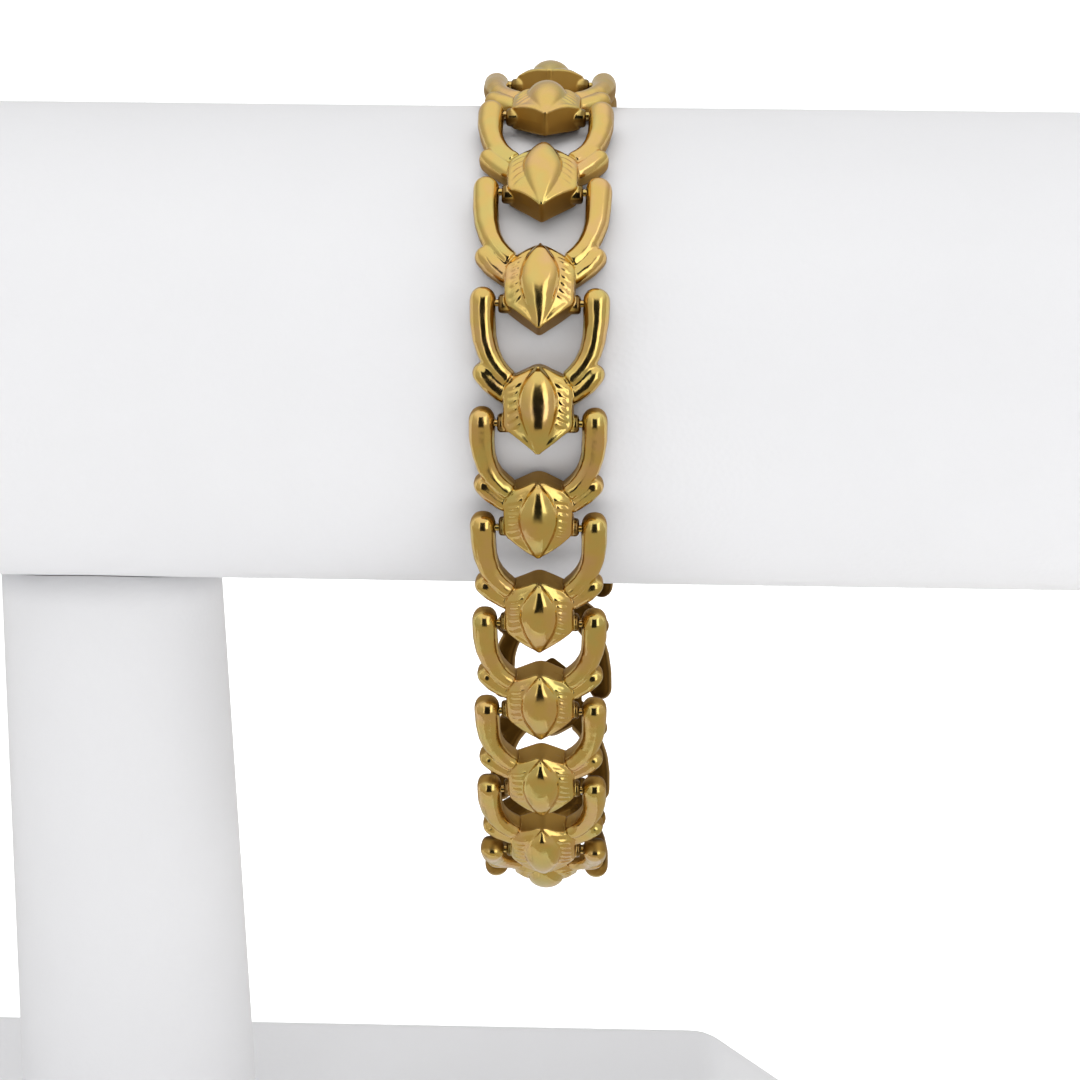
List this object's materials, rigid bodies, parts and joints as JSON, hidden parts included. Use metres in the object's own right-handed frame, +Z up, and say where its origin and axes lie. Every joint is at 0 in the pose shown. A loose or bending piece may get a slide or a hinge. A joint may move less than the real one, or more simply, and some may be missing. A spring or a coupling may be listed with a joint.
{
  "type": "link bracelet on a T-bar display stand",
  "caption": "Closed bracelet of hinged links, each a hexagonal plate with a pointed oval dome and two rounded arms, hanging over a leatherette-covered T-bar stand.",
  "frame": {"origin": "centre of the stand's underside, where it rests on a table", "axes": "+Z up, X along the stand's bar with the bracelet on the +X side, -Y towards the viewer"},
  "size_m": [0.21, 0.11, 0.1381],
  "materials": {
    "yellow_gold": "polished yellow gold with fine wear",
    "white_leatherette": "matt white leatherette with a fine grain"
  },
  "bodies": {
    "root": {"clasp": "yellow_gold", "hinge_pin_01": "yellow_gold", "hinge_pin_02": "yellow_gold", "hinge_pin_03": "yellow_gold", "hinge_pin_04": "yellow_gold", "hinge_pin_05": "yellow_gold", "hinge_pin_06": "yellow_gold", "hinge_pin_07": "yellow_gold", "hinge_pin_08": "yellow_gold", "hinge_pin_09": "yellow_gold", "hinge_pin_10": "yellow_gold", "hinge_pin_11": "yellow_gold", "hinge_pin_12": "yellow_gold", "hinge_pin_13": "yellow_gold", "hinge_pin_14": "yellow_gold", "hinge_pin_15": "yellow_gold", "hinge_pin_16": "yellow_gold", "hinge_pin_17": "yellow_gold", "hinge_pin_18": "yellow_gold", "hinge_pin_19": "yellow_gold", "link_01": "yellow_gold", "link_02": "yellow_gold", "link_03": "yellow_gold", "link_04": "yellow_gold", "link_05": "yellow_gold", "link_06": "yellow_gold", "link_07": "yellow_gold", "link_08": "yellow_gold", "link_09": "yellow_gold", "link_10": "yellow_gold", "link_11": "yellow_gold", "link_12": "yellow_gold", "link_13": "yellow_gold", "link_14": "yellow_gold", "link_15": "yellow_gold", "link_16": "yellow_gold", "link_17": "yellow_gold", "link_18": "yellow_gold", "stand_bar": "white_leatherette", "stand_base": "white_leatherette", "stand_post": "white_leatherette"}
  },
  "joints": []
}
